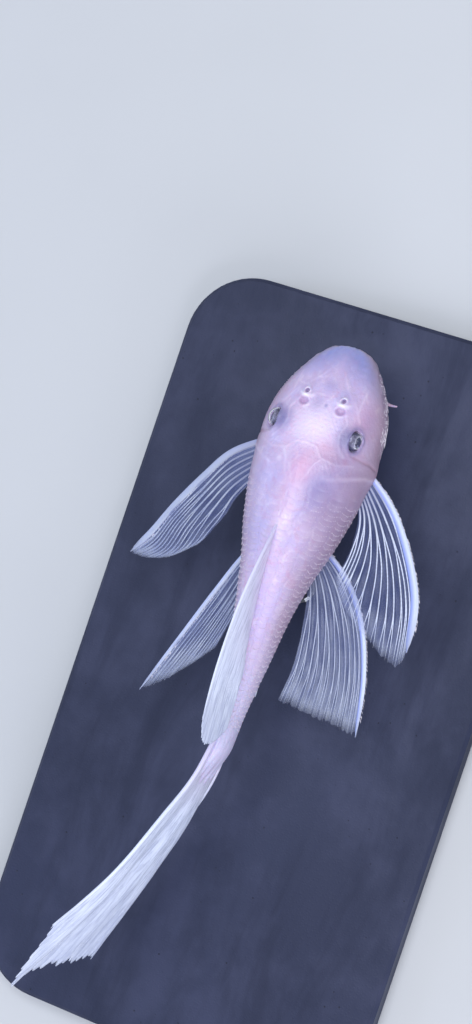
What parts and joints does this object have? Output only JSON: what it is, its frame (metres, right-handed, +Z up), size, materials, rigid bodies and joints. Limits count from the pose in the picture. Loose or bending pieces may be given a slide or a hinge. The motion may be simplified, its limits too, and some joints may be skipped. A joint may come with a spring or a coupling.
{
  "type": "bristlenose pleco model",
  "caption": "Life-size still model of a pale long-finned bristlenose pleco, swimming level on a flat base with short rods.",
  "frame": {"origin": "middle of the stand base's underside", "axes": "+X towards the snout along the body, +Y to the fish's left, +Z up"},
  "size_m": [0.156, 0.084, 0.047],
  "materials": {
    "flesh": "moist satin skin over low bony plates",
    "lips": "soft moist lips",
    "fin": "clear membrane between pale glossy rays",
    "eye": "wet gloss",
    "base": "satin slate blue",
    "rod": "fine brushed"
  },
  "bodies": {
    "root": {"head": "flesh", "trunk": "flesh", "tail_stem": "flesh", "mouth": "lips", "eye_left": "eye", "eye_right": "eye", "dorsal_fin": "fin", "adipose_fin": "fin", "anal_fin": "fin", "caudal_fin": "fin", "pectoral_fin_left": "fin", "pectoral_fin_right": "fin", "pelvic_fin_left": "fin", "pelvic_fin_right": "fin", "stand_base": "base", "stand_rod_front": "rod", "stand_rod_rear": "rod"}
  },
  "joints": []
}
